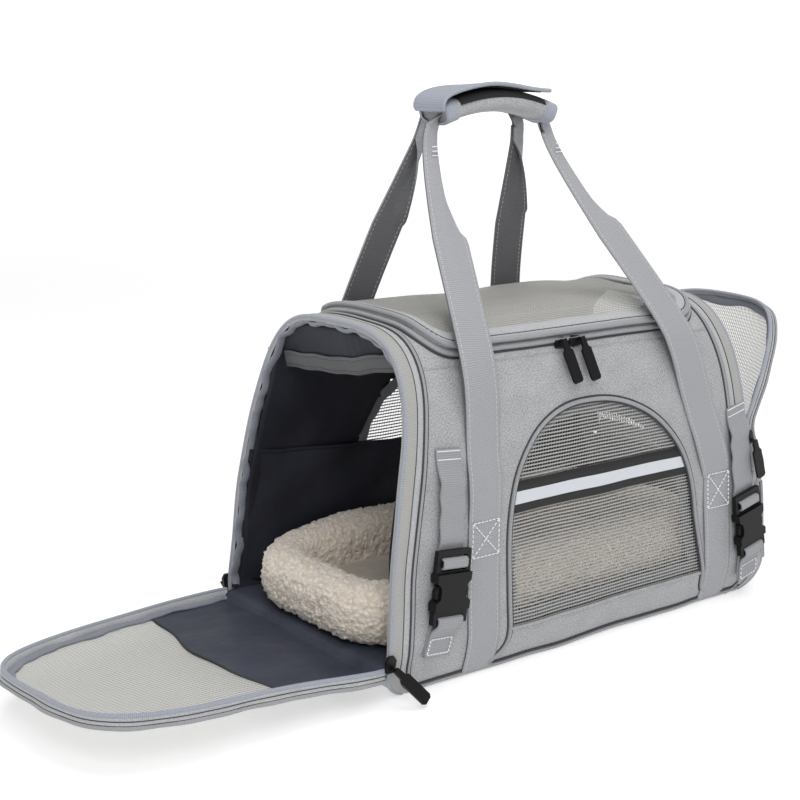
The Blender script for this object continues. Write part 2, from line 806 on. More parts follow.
def shifted(line, distance):
    """An open line moved sideways in its plane."""
    run = np.gradient(line, axis=0)
    run = unit_rows(run)
    return line + distance * np.stack([run[:, 1], -run[:, 0]], -1)


def piping_line():
    """The arch of the window piping with both legs flaring out to the base seam."""
    line = window_line(-0.0016)
    legs = []
    for end, way in ((line[0], 1.0), (line[-1], -1.0)):
        z = np.linspace(PIPE_FOOT, end[1], 12)[:-1]
        drop = (end[1] - z) / (end[1] - PIPE_FOOT)
        slant = FRONT_LEAN * 0.5 - REAR_LEAN * 0.5 if way > 0 else FRONT_LEAN
        x = end[0] - (end[1] - z) * slant * 0.5 + way * 0.015 * drop ** 3
        legs.append(np.stack([x, z], -1))
    return resample(np.vstack([legs[0], line, legs[1][::-1]]), 0.004)


for side, label in SIDES:
    outline = on_wall(WINDOW, side)
    ends = (float(s_at(FLOOR_MARK, side)), side * (TOP_HALF + 0.001))
    cloth = cut_panel(f"wall_cloth_{label}", band_front, band_rear, *ends, 0.0004, HEATHER,
                      outline, False, 0.0012, -side * 1.0)
    ride(cloth, "shell", f"side_panel_{label}", slot="heather")
    lining = cut_panel(f"wall_lining_{label}", lambda z: front_x(z) + 0.004,
                       lambda z: rear_x(z) - 0.004, *ends, -0.0034, LINING, outline, False, 0.0005,
                       0.0, step=0.005,
                       extra=lambda x, s: 0.0026 * np.sin(38 * x + 33 * s) + 0.0016 * np.sin(
                           71 * x - 52 * s + 1.0) - 0.0042)
    ride(lining, "shell")
    net = cut_panel(f"window_net_{label}", lambda z: front_x(z) + 0.03,
                    lambda z: rear_x(z) - 0.02, float(s_at(0.02, side)),
                    float(s_at(0.225, side)), -0.0012, NET, outline, True, 0.0, 0.0, step=0.004)
    ride(net, "shell", f"window_mesh_{label}", slot="mesh")
    arch = piping_line()
    cords("window", (("piping", 0.0, 0.0010, 0.0018, PIPING),
                     ("seam", -0.0025, 0.0005, 0.0008, CREVICE),
                     ("crease", 0.0025, 0.0005, 0.0007, CREVICE)),
          lambda shift, lift: wall_line(on_wall(shifted(arch, shift), side), lift), "shell",
          f"_{label}")
    sill = np.array([(x, WINDOW_LOW) for x in np.linspace(outline[:, 0].min() + 0.001,
                                                          outline[:, 0].max() - 0.001, 80)])
    ride(tube(f"window_sill_{label}", wall_line(on_wall(sill, side), 0.0010), 0.0013, HEATHER),
         "shell")
    edge = on_wall(resample(window_corner(window_line(0.0040)), 0.005, closed=True), side)
    inward = wall_line(edge, -0.0056 + 0.0010 * np.sin(np.arange(len(edge)) * 1.3))
    ride(tube(f"window_binding_{label}", inward, 0.0062, BINDING_DARK, closed=True, sides=10,
              flatten=0.22, lift=-normals(edge[:, 1])), "shell")

# The reflective tape across the near window.
rows = []
line = window_line(0.0005)
left_side, right_side = line[len(line) // 2:][::-1], line[:len(line) // 2 + 1]
for z in np.linspace(*STRIPE, 6):
    x0 = float(np.interp(z, left_side[:, 1], left_side[:, 0]))
    x1 = float(np.interp(z, right_side[:, 1], right_side[:, 0]))
    rows.append(np.stack([np.linspace(x0, x1, 60), np.full(60, s_at(z, -1))], -1))
rows = np.array(rows).transpose(1, 0, 2)
uv = uv_grid(np.linspace(0, 0.2, 60), np.linspace(0, 1, 6))
stripe = grid_object("window_reflective_stripe", wall(rows[..., 0], rows[..., 1], 0.0002),
                     REFLECTIVE, thick=0.0006, uv=uv)
ride(stripe, "shell")

# The hemmed pocket panel on the inside of the far wall.
x = np.linspace(*POCKET_X, 80)
pocket_tall = POCKET_TOP + 0.004 * np.sin(22 * x) - 0.02 * x - POCKET_LOW
rows = []
for t in np.linspace(0, 1, 24):
    z = POCKET_LOW + pocket_tall * t
    gap = (0.0105 + 0.0022 * math.sin(math.pi * min(t, 0.97)) + 0.0014 * np.sin(38 * x + 9 * t)
           + 0.0008 * np.sin(81 * x - 14 * t))
    gap = gap - 0.0060 * (1 - smooth((x - POCKET_X[0]) / 0.030))
    rows.append(wall(x, s_at(z, 1), -gap))
pocket = grid_object("far_pocket", np.array(rows).transpose(1, 0, 2), LINING, thick=0.0006)
ride(pocket, "shell")
hem = rows[-1].copy()
hem[:, 2] -= 0.0012
ride(tube("far_pocket_hem", hem, 0.0012, LINING), "shell")


# ---------------------------------------------------------------- end hoops and piping

def hoop(s, x_of, off):
    """A line round the tunnel."""
    z = section(s)[1]
    return wall(x_of(z), s, off)


def hoop_cloth(name, x_of, profile, mat, body, nodes=()):
    """A hoop of tape with a raised profile of (across, lift) pairs."""
    s = np.linspace(S_LOW + 0.001, S_HIGH - 0.001, 260)
    z = section(s)[1]
    grid = np.array([wall(x_of(z) + across, s, lift) for across, lift in profile])
    obj = grid_object(name, grid.transpose(1, 0, 2), mat)
    return ride(obj, body, *nodes)


FRONT_PROFILE = ((0.0, -0.0034), (-0.0003, -0.001), (0.0006, 0.0008), (0.0022, 0.0012),
                 (0.0046, 0.0017), (0.0076, 0.0018), (0.0104, 0.0014), (0.0116, 0.0009),
                 (0.0120, 0.0002))
STRIP_PROFILE = ((0.0112, 0.0000), (0.0118, 0.0008), (0.0134, 0.0014), (0.0156, 0.0010),
                 (0.0172, 0.0004))
hoop_cloth("front_tape", front_x, FRONT_PROFILE, TAPE, "shell", ("front_band",))
hoop_cloth("front_strip", front_x, STRIP_PROFILE, HEATHER_TAPE, "shell")
hoop_cloth("rear_tape", rear_x, tuple((-a, b) for a, b in FRONT_PROFILE), TAPE, "shell",
           ("rear_band",))
hoop_cloth("rear_strip", rear_x, tuple((-a, b) for a, b in STRIP_PROFILE), HEATHER_TAPE, "shell")

hoop_s = np.linspace(S_LOW + 0.001, S_HIGH - 0.001, 300)
for place, x_of, way in (("front", front_x, 1), ("rear", rear_x, -1)):
    cords(place, (("binding", 0.0004, 0.0004, 0.0015, BINDING),
                  ("tape_seam", 0.0115, 0.0010, 0.0004, CREVICE),
                  ("panel_seam", 0.0186, 0.0006, 0.0008, CREVICE),
                  ("roll", 0.0202, 0.0008, 0.0014, PIPING),
                  ("roll_seam", 0.0219, 0.0006, 0.0008, CREVICE)),
          lambda across, lift: hoop(hoop_s, lambda z: x_of(z) + way * across, lift), "shell")

# The wavy binding inside the front mouth, loose on its stitches.
s = np.linspace(float(s_at(0.032, -1)), float(s_at(0.032, 1)), 340)
z = section(s)[1]
loose = smooth((s + 0.16) / 0.14)
wave = (0.0007 * np.sin(s * 210) + 0.0006 * np.sin(s * 137 + 1.0) + 0.0005 * np.sin(s * 391)) * loose
dip = (0.0007 * np.sin(s * 173) + 0.0006 * np.sin(s * 309 + 2.0)) * loose
mouth = wall(front_x(z) + 0.0026 + wave, s, -0.0032 - 0.0016 * loose + dip)
ride(tube("front_mouth_binding", mouth, 0.0018 + 0.0020 * loose, BINDING_MID, sides=10,
          flatten=0.5, lift=-normals(s)), "shell")
s = np.linspace(float(s_at(0.032, -1)), float(s_at(0.032, 1)), 260)
z = section(s)[1]
mouth = wall(rear_x(z) - 0.0030, s, -0.0050 + 0.0008 * np.sin(s * 160))
ride(tube("rear_mouth_binding", mouth, 0.0040, BINDING_DARK, sides=10, flatten=0.4,
          lift=-normals(s)), "shell")

# Piping along the lower edge of each side wall.
for side, label in SIDES:
    cords("floor", (("piping", 0.0030, 0.0010, 0.0017, PIPING),
                    ("seam", 0.0062, 0.0010, 0.0009, CREVICE)),
          lambda height, lift: wall(np.linspace(float(front_x(height)) + 0.012,
                                                float(rear_x(height)) - 0.012, 120),
                                    s_at(height, side), lift), "shell", f"_{label}")


# ---------------------------------------------------------------- top panel and lid

def rounded(x0, x1, y0, y1, radius, steps=10):
    """A rectangle with rounded corners."""
    points = []
    for cx, cy, start in ((x1 - radius, y0 + radius, -90), (x1 - radius, y1 - radius, 0),
                          (x0 + radius, y1 - radius, 90), (x0 + radius, y0 + radius, 180)):
        angle = np.radians(start + 90.0 * np.arange(steps + 1) / steps)
        points.append(np.stack([cx + radius * np.cos(angle), cy + radius * np.sin(angle)], -1))
    return resample(np.vstack(points), 0.004, closed=True)


def lid_line(grow, radius=LID_CORNER):
    """Outline of the lid in (x, s), grown outward."""
    return rounded(LID_FRONT - grow, LID_REAR + grow, -LID_HALF - grow, LID_HALF + grow,
                   radius + grow)


def round_lid(grow, lift):
    """A line round the lid."""
    return wall_line(lid_line(grow), lift)


top = cut_panel("top_cloth", band_front, band_rear, -TOP_HALF - 0.001, TOP_HALF + 0.001, 0.0004,
                HEATHER, lid_line(0.001), False, 0.0012, 1.0)
ride(top, "shell", "top_panel", slot="heather")
top = cut_panel("top_lining", lambda z: front_x(z) + 0.004, lambda z: rear_x(z) - 0.004,
                -TOP_HALF - 0.001, TOP_HALF + 0.001, -0.0034, LINING, lid_line(-0.006), False,
                0.0005, 0.0, step=0.005)
ride(top, "shell")
cords("lid", (("lower_piping", 0.0035, 0.0022, 0.0021, PIPING),
              ("lower_seam", 0.0062, 0.0008, 0.0009, CREVICE)), round_lid, "shell", closed=True)


def ring_stack(specs, count=240):
    """Stacked lid outlines with equal point counts."""
    out = []
    for grow, lift in specs:
        line = lid_line(grow)
        line = np.vstack([line, line[:1]])
        run = lengths(line)
        at = np.linspace(0, run[-1], count, endpoint=False)
        flat = along(at, run, line)
        out.append(wall_line(flat, lift))
    return np.array(out).transpose(1, 0, 2)


# Zip tape standing between the two pipings, then the raised rim and its net.
tape = grid_object("lid_zip_tape", ring_stack(((0.0026, 0.0008), (0.0008, 0.0016), (0.0002, 0.0034),
                                               (0.0, 0.0052))), HEATHER_TAPE, closed_u=True)
ride(tape, "top_lid")
line = lid_line(0.0016)
ride(teeth("lid_zip_teeth", wall_line(line, 0.0030), normals(line[:, 1]), COIL, width=0.0022,
           closed=True), "top_lid")
cords("lid", (("upper_piping", -0.0004, 0.0072, 0.0021, PIPING),
              ("upper_seam", -0.0034, 0.0082, 0.0008, CREVICE)), round_lid, "top_lid", closed=True)
rim = grid_object("lid_rim_cloth", ring_stack(((-0.0004, 0.0070), (-0.0030, 0.0088),
                                               (-0.0070, 0.0090), (-0.0105, 0.0082),
                                               (-0.0112, 0.0070), (-0.0105, 0.0058),
                                               (-0.0020, 0.0052))), HEATHER_TAPE, closed_u=True)
ride(rim, "top_lid", "top_lid_rim", slot="heather")
net = cut_panel("lid_net", lambda z: np.full_like(z, LID_FRONT), lambda z: np.full_like(z, LID_REAR),
                -LID_HALF - 0.004, LID_HALF + 0.004, 0.0074, NET_TOP, lid_line(-0.0100), True, 0.0,
                0.0, step=0.005,
                extra=lambda x, s: -0.0016 * np.cos(math.pi * np.clip(s / 0.07, -0.5, 0.5))
                + 0.0008 * np.sin(45 * x + 20 * s))
ride(net, "top_lid", "top_lid_mesh", slot="mesh")

# The roof lining sags in a fold behind the mouth, with a wide seam tape along it.
FOLD_Y = (-0.084, 0.083)
FOLD_Z = (0.2600, 0.2480, 0.2375)
across = np.linspace(0, 1, 70)
fold_y = FOLD_Y[0] + (FOLD_Y[1] - FOLD_Y[0]) * across
fold_z = np.interp(across, (0.0, 0.5, 1.0), FOLD_Z) - 0.0035 * np.sin(np.pi * across) ** 2
fold_z = fold_z + 0.0006 * np.sin(13 * across) + 0.0004 * np.sin(31 * across + 1)
roof_s = s_of_y(np.clip(fold_y, -0.090, 0.078))
roof_z = section(roof_s)[1] - 0.005


def fold_row(x, z):
    """One row of the sagging fold."""
    return np.stack(np.broadcast_arrays(x + 0.0007 * np.sin(17 * across), fold_y, z), -1)


front_face = [fold_row(-0.1990 + 0.0070 * t, roof_z + (fold_z - roof_z) * t ** 0.7)
              for t in np.linspace(0, 1, 12)]
back_face = [fold_row(-0.1850 + 0.0500 * t, (fold_z - 0.014) + (roof_z - fold_z + 0.012) * t ** 1.5)
             for t in np.linspace(0.04, 1, 14)]
band_face = [fold_row(-0.1920 + 0.0070 * t, fold_z - 0.0140 * t) for t in np.linspace(0, 1, 6)]
rows = np.array(front_face + band_face[1:] + back_face)
roof_fold = grid_object("roof_lining_fold", rows.transpose(1, 0, 2), LINING, thick=0.0005)
ride(roof_fold, "shell")
rows = np.array(band_face)
rows[..., 0] -= 0.0014
ride(grid_object("roof_seam_tape", rows.transpose(1, 0, 2), SEAM_TAPE, thick=0.0010, offset=0.0),
     "shell")
rows[..., 0] -= 0.0009
ride(stitches("roof_tape_stitches", [rows[1], rows[-2]], [np.array([-1.0, 0, 0.3])] * 2,
              SEAM_TAPE, pitch=0.0042, fill=0.5, width=0.0005), "shell")


# ---------------------------------------------------------------- base

x_marks = np.concatenate([front_x(np.linspace(HINGE_Z, 0.0, 14)), [0.0],
                          rear_x(np.linspace(0.0, HINGE_Z, 14))])
z_marks = np.concatenate([np.linspace(HINGE_Z, 0.0, 14), [0.0], np.linspace(0.0, HINGE_Z, 14)])
cross = np.linspace(-1, 1, 40)
base = np.array([[(x, c * (float(half_width(z)) - 0.0006), z + 0.0006) for c in cross]
                 for x, z in zip(x_marks, z_marks)])
ride(grid_object("base_cloth", base, HEATHER, thick=0.0018, offset=1.0), "shell", "base_panel",
     slot="heather")
board = rounded(-0.182, 0.190, -0.088, 0.088, 0.02)
points = np.array([np.c_[board * (1.0 - inset), np.full(len(board), z)]
                   for z, inset in ((0.0034, 0.02), (0.0050, 0.0), (0.0262, 0.0), (0.0278, 0.02))])
rows = np.vstack([points.mean(1)[:1].repeat(len(board), 0)[None], points,
                  points.mean(1)[-1:].repeat(len(board), 0)[None]])
ride(grid_object("floor_board", rows, BOARD, closed_v=True), "shell", "base_board", slot="board")


# ---------------------------------------------------------------- doors

def front_plane(z):
    """The plane of the front mouth."""
    return FRONT_X + FRONT_LEAN * z


def rear_plane(z):
    """The plane of the rear mouth."""
    return REAR_X - REAR_LEAN * z


def turned(points, pivot, degrees):
    """Points swung about the Y axis through a pivot."""
    a = math.radians(degrees)
    rel = points - np.asarray(pivot)
    x = rel[..., 0] * math.cos(a) + rel[..., 2] * math.sin(a)
    z = -rel[..., 0] * math.sin(a) + rel[..., 2] * math.cos(a)
    return np.stack([x, rel[..., 1], z], -1) + np.asarray(pivot)


FRONT_PIVOT = (front_plane(HINGE_Z) - DOOR_GAP, 0.0, HINGE_Z)
FRONT_TURN = -(90.0 + math.degrees(math.atan(FRONT_LEAN)) - DOOR_RISE)
REAR_PIVOT = (rear_plane(REAR_SPLIT_Z) + DOOR_GAP + DOOR_DEPTH, 0.0, REAR_SPLIT_Z)
DOOR_REACH = HEIGHT - HINGE_Z


def drawn_in(points):
    """The soft tip of the open front door is a little narrower and shorter than its mouth."""
    part = np.clip((FRONT_PIVOT[0] - points[..., 0]) / DOOR_REACH, 0.0, 1.0)
    out = points.copy()
    out[..., 1] -= (points[..., 1] + 0.008) * DOOR_DRAWN_IN * smooth(part)
    out[..., 0] += DOOR_SHORTER * part ** 2 - DOOR_SHEAR * points[..., 1] * part ** 2
    out[..., 2] -= DOOR_ROLL * points[..., 1] * smooth(part / 0.5)
    return out


def place_front(y, z, depth):
    """Points of the front door's plane, swung open."""
    shut = np.stack(np.broadcast_arrays(front_plane(z) - DOOR_GAP - depth * DOOR_SLIM, y, z), -1)
    return drawn_in(turned(shut, FRONT_PIVOT, FRONT_TURN))


def front_door(s, inset, depth):
    """Points along the front door's edge at arc length s, drawn in by inset."""
    y, z, ny, nz = section(s)
    return place_front(y - ny * inset, np.maximum(z - nz * inset, HINGE_Z + 0.0010), depth)


DOOR_S = np.linspace(float(s_at(HINGE_Z + 0.003, -1)), float(s_at(HINGE_Z + 0.003, 1)), 320)
# Round the door's gusset, as (out, depth) pairs.
door_profile = ((-0.0004, 0.0), (0.0010, 0.0016), (0.0013, 0.0040), (0.0004, 0.0056),
                (-0.0003, 0.0062), (0.0006, 0.0070), (0.0014, 0.0100), (0.0012, 0.0130),
                (0.0002, 0.0150), (-0.0016, 0.0152), (-0.0034, 0.0148), (-0.0034, 0.0080),
                (-0.0026, 0.0), (-0.0004, 0.0))
wobble = 0.0007 * np.sin(DOOR_S * 95) + 0.0005 * np.sin(DOOR_S * 171 + 2)
grid = np.array([front_door(DOOR_S, -out + wobble * (depth / 0.015), depth)
                 for out, depth in door_profile]).transpose(1, 0, 2)
ride(grid_object("front_door_gusset", grid, HEATHER_TAPE), "front_door", "front_door_rim",
     slot="tape")
cords("front_door", (("top_piping", 0.0006, -0.0004, 0.0018, BINDING),
                     ("zip_seam", 0.0001, 0.0062, 0.0007, CREVICE),
                     ("low_piping", -0.0006, 0.0138, 0.0019, PIPING),
                     ("low_seam", -0.0010, 0.0114, 0.0007, CREVICE)),
      lambda inset, depth: front_door(DOOR_S, inset + wobble * (depth / 0.015), depth),
      "front_door")
wave = (0.0009 * np.sin(DOOR_S * 118) + 0.0008 * np.sin(DOOR_S * 71 + 1.0)
        + 0.0005 * np.sin(DOOR_S * 263))
path = front_door(DOOR_S, 0.0056 + wave, 0.0098 + 0.0008 * np.sin(DOOR_S * 90))
ride(tube("front_door_binding", path, 0.0038, BINDING_MID, sides=12, flatten=0.45,
          lift=(0.0, 0.0, 1.0)), "front_door")


def split_line(y):
    """The wavy seam between the lined half of the door and its net."""
    return DOOR_SPLIT_Z + 0.006 * np.cos(np.pi * y / 0.11) - 0.045 * y + 0.0015 * np.sin(y * 90)


def outline_y(z, inset):
    """Both sides of the tunnel at a height."""
    s0, s1 = s_at(z, -1), s_at(z, 1)
    return section(s0)[0] + inset, section(s1)[0] - inset


def door_panel(name, z_from, z_to, inset, depth, mat, body, place, nodes, slot, rows=60, columns=60,
               sag=0.0030, thick=0.0008):
    """A sheet spanning the door between two heights, which may vary with y."""
    first, last = (z if np.isscalar(z) else DOOR_SPLIT_Z for z in (z_from, z_to))
    across = np.linspace(0, 1, columns)
    grid = np.zeros((rows, columns, 3))
    for i, t in enumerate(np.linspace(0, 1, rows)):
        y0, y1 = outline_y(np.array(first * (1 - t) + last * t), inset)
        y = np.linspace(float(y0), float(y1), columns)
        low = z_from if np.isscalar(z_from) else z_from(y)
        high = z_to if np.isscalar(z_to) else z_to(y)
        z = low + (high - low) * t + 0 * y
        dip = sag * np.sin(math.pi * across) * math.sin(math.pi * min(max(t, 0.02), 0.98))
        dip = dip + 0.0009 * np.sin(34 * y + 28 * z) + 0.0007 * np.sin(71 * z - 43 * y + 1.5)
        grid[i] = place(y, z, depth - dip)
    obj = grid_object(name, grid, mat, thick=thick, offset=0.0)
    return ride(obj, body, *nodes, slot=slot)


door_panel("front_door_lining", HINGE_Z + 0.0015, split_line, 0.004, 0.0115, SLATE, "front_door",
           place_front, ("front_door_panel",), "lining")
door_panel("front_door_net", lambda y: split_line(y) - 0.002, CROWN, 0.004, 0.0128, NET_PALE,
           "front_door", place_front, ("front_door_mesh",), "mesh", thick=0.0, sag=0.0018)
door_panel("front_door_film", lambda y: split_line(y) - 0.002, CROWN, 0.004, 0.0142, FILM,
           "front_door", place_front, (), "mesh", thick=0.0, sag=0.0018)
y = np.linspace(-0.100, 0.094, 80)
z = split_line(y)
seam = place_front(y, z, 0.0115 - 0.0030 * np.sin(np.linspace(0, math.pi, 80)) * 0.1 - 0.0004)
ride(tube("front_door_split_seam", seam, 0.0009, CREVICE), "front_door")
door_panel("front_door_under", HINGE_Z + 0.0015, split_line, 0.002, 0.0148, HEATHER, "front_door",
           place_front, (), "heather", sag=0.0)

# Lining that folds over the front lip, from the cabin floor onto the door.
path = resample(np.array([(-0.1400, 0.0282), (-0.1700, 0.0282), (-0.2080, 0.0284),
                          (-0.2150, 0.0284), (-0.2190, 0.0270), (-0.2230, 0.0215),
                          (-0.2290, 0.0182), (-0.2380, 0.0180)]), 0.0015)
cross = np.linspace(-0.104, 0.104, 50)
grid = np.array([[(x, y, z) for y in cross] for x, z in path])
lip = grid_object("front_lip_lining", grid, SLATE, thick=0.0007, offset=0.0)
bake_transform(lip)


def rear_soft(points):
    """The unzipped upper half bows outward and its crown sinks."""
    rise = np.clip((points[..., 2] - REAR_SPLIT_Z) / 0.165, 0, 1.2)
    shoulder = np.clip(np.abs(points[..., 1] + 0.012) / 0.10, 0, 1)
    out = points.copy()
    out[..., 0] += REAR_BOW * np.sin(math.pi * np.clip(rise, 0, 1))
    out[..., 0] -= REAR_TUCK * smooth(rise / 0.40) * shoulder ** 2
    out[..., 2] -= REAR_SINK * rise ** 2
    return out


def rear_depth(z, depth):
    """The gusset is thin at the floor, full at the fold and slim again round the crown."""
    foot = 0.10 + 0.90 * smooth((z - HINGE_Z) / 0.080)
    return depth * foot * (1.0 - 0.40 * smooth((z - REAR_SPLIT_Z) / 0.050))


def rear_door(s, inset, depth):
    """Points along the rear door's edge at arc length s, drawn in by inset."""
    y, z, ny, nz = section(s)
    depth = rear_depth(z, depth)
    y, z = y - ny * inset, z - nz * inset
    return np.stack(np.broadcast_arrays(rear_plane(z) + DOOR_GAP + depth, y, z), -1)


def place_rear(y, z, depth):
    """Points of the rear door's plane."""
    return np.stack(np.broadcast_arrays(rear_plane(z) + DOOR_GAP + rear_depth(z, depth), y, z), -1)


def rear_upper(points):
    """The upper half, leaning out."""
    return rear_soft(turned(points, REAR_PIVOT, REAR_LEAN_OUT))


# The middle of the flap turns with its body; the tucked sides lag, as slack cloth does.
FLAP = ("rear_door_lower_half", "rear_door_upper_half", (0.180, 0, 0.15), (0.240, 0, 0.15))
UPPER_S = np.linspace(float(s_at(REAR_SPLIT_Z + 0.002, -1)), float(s_at(REAR_SPLIT_Z + 0.002, 1)),
                      280)
wobble = 0.0006 * np.sin(UPPER_S * 101) + 0.0005 * np.sin(UPPER_S * 163 + 2)
grid = np.array([rear_upper(rear_door(UPPER_S, -out + wobble * (depth / 0.015), depth))
                 for out, depth in door_profile]).transpose(1, 0, 2)
ride(grid_object("rear_upper_gusset", grid, HEATHER_TAPE), FLAP, "rear_door_upper", slot="heather")
REAR_CORDS = (("zip_piping", 0.0006, -0.0004, 0.0017, BINDING),
              ("zip_seam", 0.0001, 0.0062, 0.0007, CREVICE),
              ("outer_piping", -0.0006, 0.0138, 0.0019, PIPING),
              ("outer_seam", -0.0010, 0.0114, 0.0007, CREVICE))
cords("rear_upper", REAR_CORDS, lambda inset, depth: rear_upper(
    rear_door(UPPER_S, inset + wobble * (depth / 0.015), depth)), FLAP)
wave = 0.0014 * np.sin(UPPER_S * 121) + 0.0010 * np.sin(UPPER_S * 77 + 1.0)
path = rear_upper(rear_door(UPPER_S, 0.0060 + wave, 0.0100))
ride(tube("rear_upper_binding", path, 0.0040, BINDING_MID, sides=12, flatten=0.40,
          lift=(-1.0, 0.0, 0.25)), FLAP)
door_panel("rear_upper_net", REAR_SPLIT_Z + 0.002, CROWN, 0.004, 0.0128, NET_PALE, FLAP,
           lambda y, z, depth: rear_upper(place_rear(y, z, depth)), (), "mesh", thick=0.0,
           sag=0.0020)

LOWER = []
for side in (-1, 1):
    ends = sorted((float(s_at(HINGE_Z + 0.003, side)), float(s_at(REAR_SPLIT_Z - 0.001, side))))
    LOWER.append(np.linspace(*ends, 60))
for strip, label in zip(LOWER, ("near", "far")):
    grid = np.array([rear_door(strip, -out, depth) for out, depth in door_profile])
    piece = grid_object(f"rear_lower_gusset_{label}", grid.transpose(1, 0, 2), HEATHER_TAPE)
    ride(piece, "rear_door_lower_half", slot="heather")
    cords("rear_lower", REAR_CORDS[:1] + REAR_CORDS[2:],
          lambda inset, depth: rear_door(strip, inset, depth), "rear_door_lower_half", f"_{label}")
door_panel("rear_lower_cloth", HINGE_Z + 0.0012, REAR_SPLIT_Z - 0.0006, 0.001, 0.0146, HEATHER,
           "rear_door_lower_half", place_rear, ("rear_door_lower",), "heather", rows=30,
           thick=0.0012)

# The gusset stretches round the fold on both sides.
for strip, upper_end, label in ((LOWER[0], UPPER_S[0], "near"), (LOWER[1], UPPER_S[-1], "far")):
    low_end = strip[-1] if label == "near" else strip[0]
    below = np.array([rear_door(np.array([low_end]), -out, depth)[0]
                      for out, depth in door_profile[:9]])
    above = np.array([rear_upper(rear_door(np.array([upper_end]), -out, depth))[0]
                      for out, depth in door_profile[:9]])
    steps = np.linspace(0, 1, 9)[:, None, None]
    grid = below[None] * (1 - steps) + above[None] * steps
    piece = grid_object(f"rear_fold_gusset_{label}", grid, HEATHER_TAPE, thick=0.0008, offset=0.0)
    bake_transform(piece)

# Cloth hinge across the fold of the rear door.
y = np.linspace(-0.103, 0.099, 50)
fold = []
for x, z in resample(np.array([(REAR_PIVOT[0] + 0.0048, REAR_SPLIT_Z - 0.016),
                               (REAR_PIVOT[0] + 0.0006, REAR_SPLIT_Z - 0.002),
                               (REAR_PIVOT[0] + 0.0012, REAR_SPLIT_Z + 0.003),
                               (REAR_PIVOT[0] + 0.0058, REAR_SPLIT_Z + 0.016)]), 0.002):
    fold.append([(x, v, z) for v in y])
hinge = grid_object("rear_fold_cloth", np.array(fold), HEATHER, thick=0.0009, offset=0.0)
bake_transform(hinge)


# ---------------------------------------------------------------- webbing loops

def strap_x(z, front):
    """Middle of a strap on the wall at a height."""
    return -0.119 - 0.042 * z if front else 0.163 - 0.095 * z


def grip_height(x):
    """The arch of the grip."""
    return GRIP_Z - GRIP_DROP * (x - GRIP_MIDDLE) ** 2


def leg(side, front):
    """Rows of a strap leg from the floor up: middle, across, out and fold."""
    box = FRONT_BOX if front else REAR_BOX
    rows = []
    for s in np.linspace(float(s_at(0.0030, side)), float(s_at(box[1], side)), 36):
        z = float(section(s)[1])
        x = strap_x(z, front)
        spot = wall(x, s, 0.0020)
        rows.append((spot, np.array([1.0, 0, 0]), np.array([0, *map(float, section(s)[2:])]), 0.0))
    top_s = float(s_at(SHOULDER_LEAVE, side))
    for s in np.linspace(float(s_at(box[1] + 0.003, side)), top_s, 26):
        z = float(section(s)[1])
        part = (z - box[1]) / (SHOULDER_LEAVE - box[1])
        x = strap_x(box[1], front) * (1 - part) + LEG_SHOULDER[(side, front)] * part
        rise = min(max(z - 0.175, 0.0) / (SHOULDER_LEAVE - 0.175), 1.0)
        bulge = 0.0016 * math.sin(math.pi * min(part * 2.2, 1.0))
        spot = wall(x, s, 0.0022 + bulge + 0.0105 * rise * rise)
        rows.append((spot, np.array([1.0, 0, 0]), np.array([0, *map(float, section(s)[2:])]), 0.0))
    inset = 0.012 if side > 0 else 0.0
    end_x = GRIP_FRONT + inset if front else GRIP_REAR - inset
    out = -1.0 if front else 1.0
    goal = np.array([end_x + out * 0.004, -0.004 if side < 0 else 0.0195,
                     grip_height(end_x) - 0.012])
    start = rows[-1][0]
    slope = start - rows[-3][0]
    slope = unit(slope)
    span = np.linalg.norm(goal - start)
    arrive = np.array([-out * 0.25, 0.10 * -side, 1.0])
    arrive = unit(arrive)
    for k in range(1, 41):
        t = k / 40.0
        h = (2 * t ** 3 - 3 * t ** 2 + 1, t ** 3 - 2 * t ** 2 + t, -2 * t ** 3 + 3 * t ** 2,
             t ** 3 - t ** 2)
        spot = start * h[0] + slope * span * 0.5 * h[1] + goal * h[2] + arrive * span * 0.4 * h[3]
        across = np.array([1.0, 0, 0.0])
        facing = np.array([0.0, float(side), 0.25])
        rows.append((spot, across, facing, min(max((t - FOLD_FROM) / FOLD_RUN[side], 0.0), 1.0)))
    return rows


def strap_grid(rows, width, across_count=17):
    """Cross rows of a strap that folds in half as its fold value goes to one."""
    middle = np.array([r[0] for r in rows])
    run = np.gradient(middle, axis=0)
    run = unit_rows(run)
    out = []
    w = np.linspace(-0.5, 0.5, across_count) * width
    for (spot, across, facing, fold), heading in zip(rows, run):
        across = across - heading * across.dot(heading)
        across = unit(across)
        up = np.cross(across, heading)
        if up[1] * facing[1] > 0:
            up = -up
        bend = math.acos(1.0 - 2.0 * fold) * 0.97 * smooth(fold / 0.10)
        lateral = np.zeros_like(w)
        lift = np.zeros_like(w)
        for k, v in enumerate(w):
            start = -0.12 * width
            if v <= start:
                lateral[k] = v
                continue
            arc = 0.24 * width
            part = min((v - start) / arc, 1.0)
            turn = bend * part
            if bend > 1e-3:
                lateral[k] = start + arc * math.sin(turn) / bend
                lift[k] = arc * (1 - math.cos(turn)) / bend
            else:
                lateral[k] = start + arc * part
            rest = max(v - start - arc, 0.0)
            lateral[k] += rest * math.cos(turn)
            lift[k] += rest * math.sin(turn)
        lateral = (lateral + fold * width * 0.22) * (1.0 - 0.20 * fold)
        lift = lift * 0.5 * (1.0 - 0.2 * fold) + 0.0010 * (1 - fold) * (w / (0.5 * width)) ** 2
        out.append(spot[None] + across[None] * lateral[:, None] + up[None] * lift[:, None])
    return np.array(out), w


